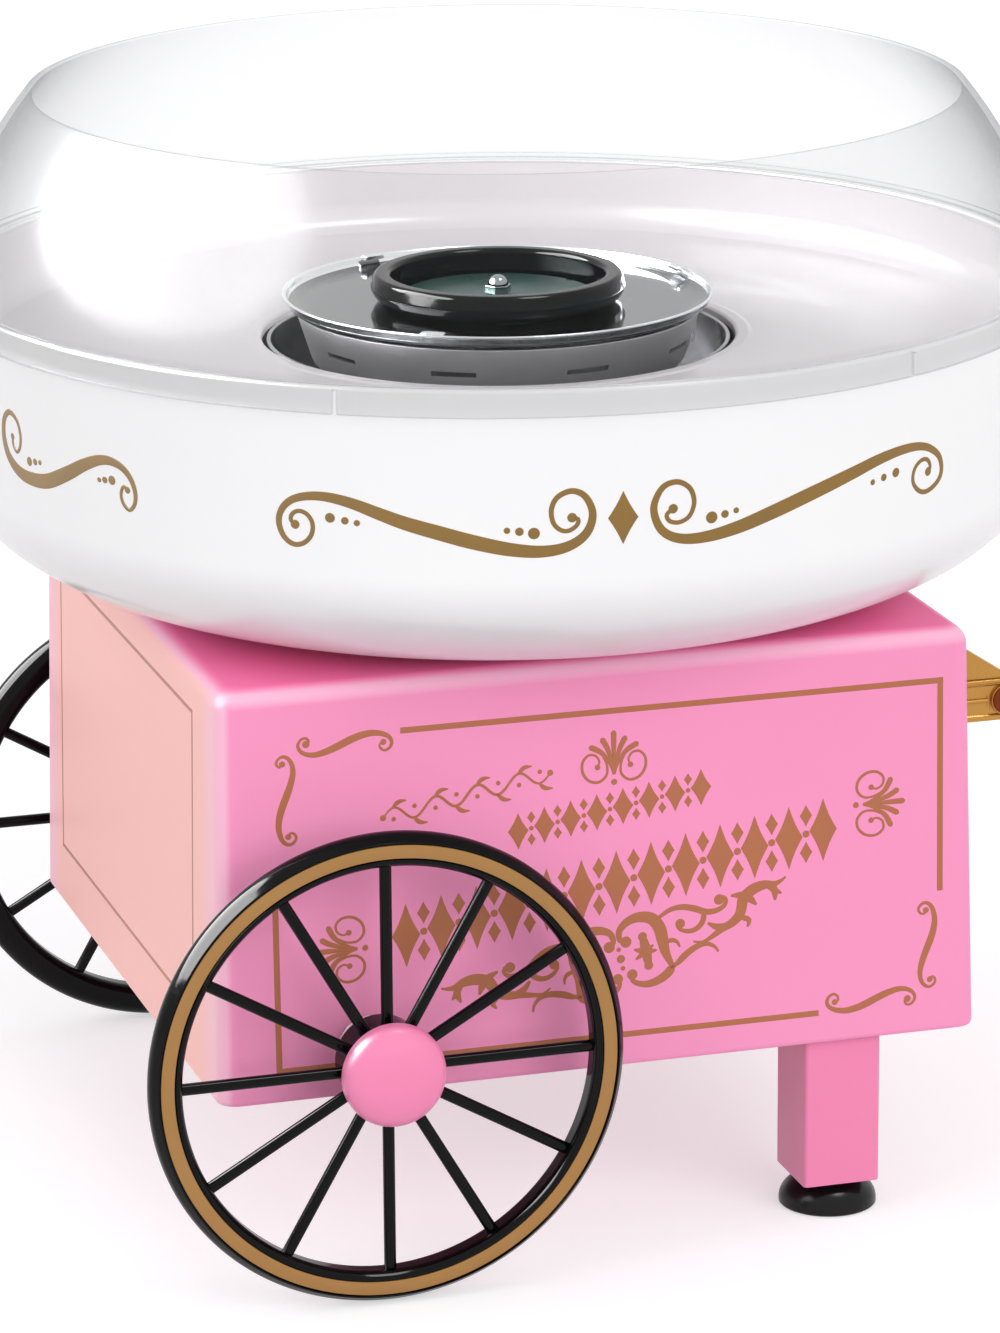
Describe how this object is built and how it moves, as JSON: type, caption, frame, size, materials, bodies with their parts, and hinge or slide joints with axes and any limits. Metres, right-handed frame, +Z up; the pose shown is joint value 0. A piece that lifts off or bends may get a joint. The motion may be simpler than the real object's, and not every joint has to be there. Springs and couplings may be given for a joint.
{
  "type": "cotton candy machine",
  "caption": "Electric counter-top cotton candy machine on a two-wheeled carnival cart: round bowl, clear guard, spinning head, push handle and suction feet.",
  "frame": {"origin": "on the floor, on the axis of the round bowl, which is the middle of the whole machine's footprint box", "axes": "+Z up; +X from the wheels to the push handle along the cart; the printed long side faces -Y"},
  "size_m": [0.2952, 0.2952, 0.2884],
  "materials": {
    "pink_plastic": "moulded, satin gloss",
    "white_plastic": "moulded, glossy",
    "clear_plastic": "clear moulded plastic",
    "black_plastic": "moulded, glossy black",
    "black_rubber": "soft black rubber",
    "gold_plastic": "gold coloured moulded plastic",
    "gold_band": "gold coloured band",
    "chrome": "polished plate",
    "steel": "plain steel",
    "dark_steel": "heat-darkened steel",
    "aluminium": "spun aluminium",
    "teal_plate": "grey-green coated plate",
    "bronze": "sintered bronze",
    "ceramic": "unglazed ceramic",
    "nylon": "natural nylon",
    "magnet": "ferrite"
  },
  "bodies": {
    "cart": {"axle": "steel", "axle_bush_back": "nylon", "axle_bush_front": "nylon", "base_plate": "pink_plastic", "base_screw_1": "steel", "base_screw_2": "steel", "base_screw_3": "steel", "base_screw_4": "steel", "bracket_screw_1": "steel", "bracket_screw_2": "steel", "bracket_screw_3": "steel", "cart_body": "pink_plastic", "cord_gland": "black_plastic", "element_seat": "ceramic", "handle_arm_back": "gold_plastic", "handle_arm_front": "gold_plastic", "handle_bar": "gold_plastic", "handle_screw_back": "steel", "handle_screw_front": "steel", "heater_pedestal": "aluminium", "heater_well": "dark_steel", "heating_element": "dark_steel", "lead_motor": "black_rubber", "lead_supply": "black_rubber", "lead_switch": "black_rubber", "leg_back": "pink_plastic", "leg_front": "pink_plastic", "leg_screw_back": "steel", "leg_screw_front": "steel", "motor_bracket": "steel", "motor_bush_bottom": "bronze", "motor_bush_top": "bronze", "motor_can": "steel", "motor_end_cap": "black_plastic", "motor_mount": "black_rubber", "push_nut_back": "steel", "push_nut_front": "steel", "ring_magnet": "magnet", "suction_cup_back": "black_rubber", "suction_cup_front": "black_rubber", "switch_bezel": "black_plastic", "terminal_block": "nylon"},
    "wheel_front": {"wheel_front": "black_plastic", "wheel_band_front": "gold_band", "hub_cap_front": "pink_plastic"},
    "wheel_back": {"wheel_back": "black_plastic", "wheel_band_back": "gold_band", "hub_cap_back": "pink_plastic"},
    "head": {"sugar_cup": "aluminium", "extractor_disc": "chrome", "extractor_ring": "black_plastic", "hub_plate": "teal_plate", "acorn_nut": "chrome", "drive_shaft": "steel", "rotor_core": "steel", "cooling_fan": "nylon"},
    "bowl": {"bowl_shell": "white_plastic", "bowl_tray": "white_plastic"},
    "guard": {"floss_guard": "clear_plastic"},
    "rocker": {"switch_rocker": "black_plastic"}
  },
  "joints": [
    {"name": "head_spin", "type": "hinge", "parent": "cart", "child": "head", "pos_m": [0, 0, 0.15], "axis": [0, 0, 1], "continuous": true},
    {"name": "wheel_front_spin", "type": "hinge", "parent": "cart", "child": "wheel_front", "pos_m": [-0.0655, -0.1156, 0.06206], "axis": [0, 1, 0], "continuous": true},
    {"name": "wheel_back_spin", "type": "hinge", "parent": "cart", "child": "wheel_back", "pos_m": [-0.0655, 0.1156, 0.06206], "axis": [0, 1, 0], "continuous": true},
    {"name": "bowl_lift", "type": "slide", "parent": "cart", "child": "bowl", "axis": [0, 0, 1], "range_m": [0, 0.1]},
    {"name": "guard_lift", "type": "slide", "parent": "bowl", "child": "guard", "axis": [0, 0, 1], "range_m": [0, 0.05]},
    {"name": "switch_rock", "type": "hinge", "parent": "cart", "child": "rocker", "pos_m": [0.058, 0.09584, 0.11797], "axis": [1, 0, 0], "range_deg": [0, 18.3]}
  ]
}
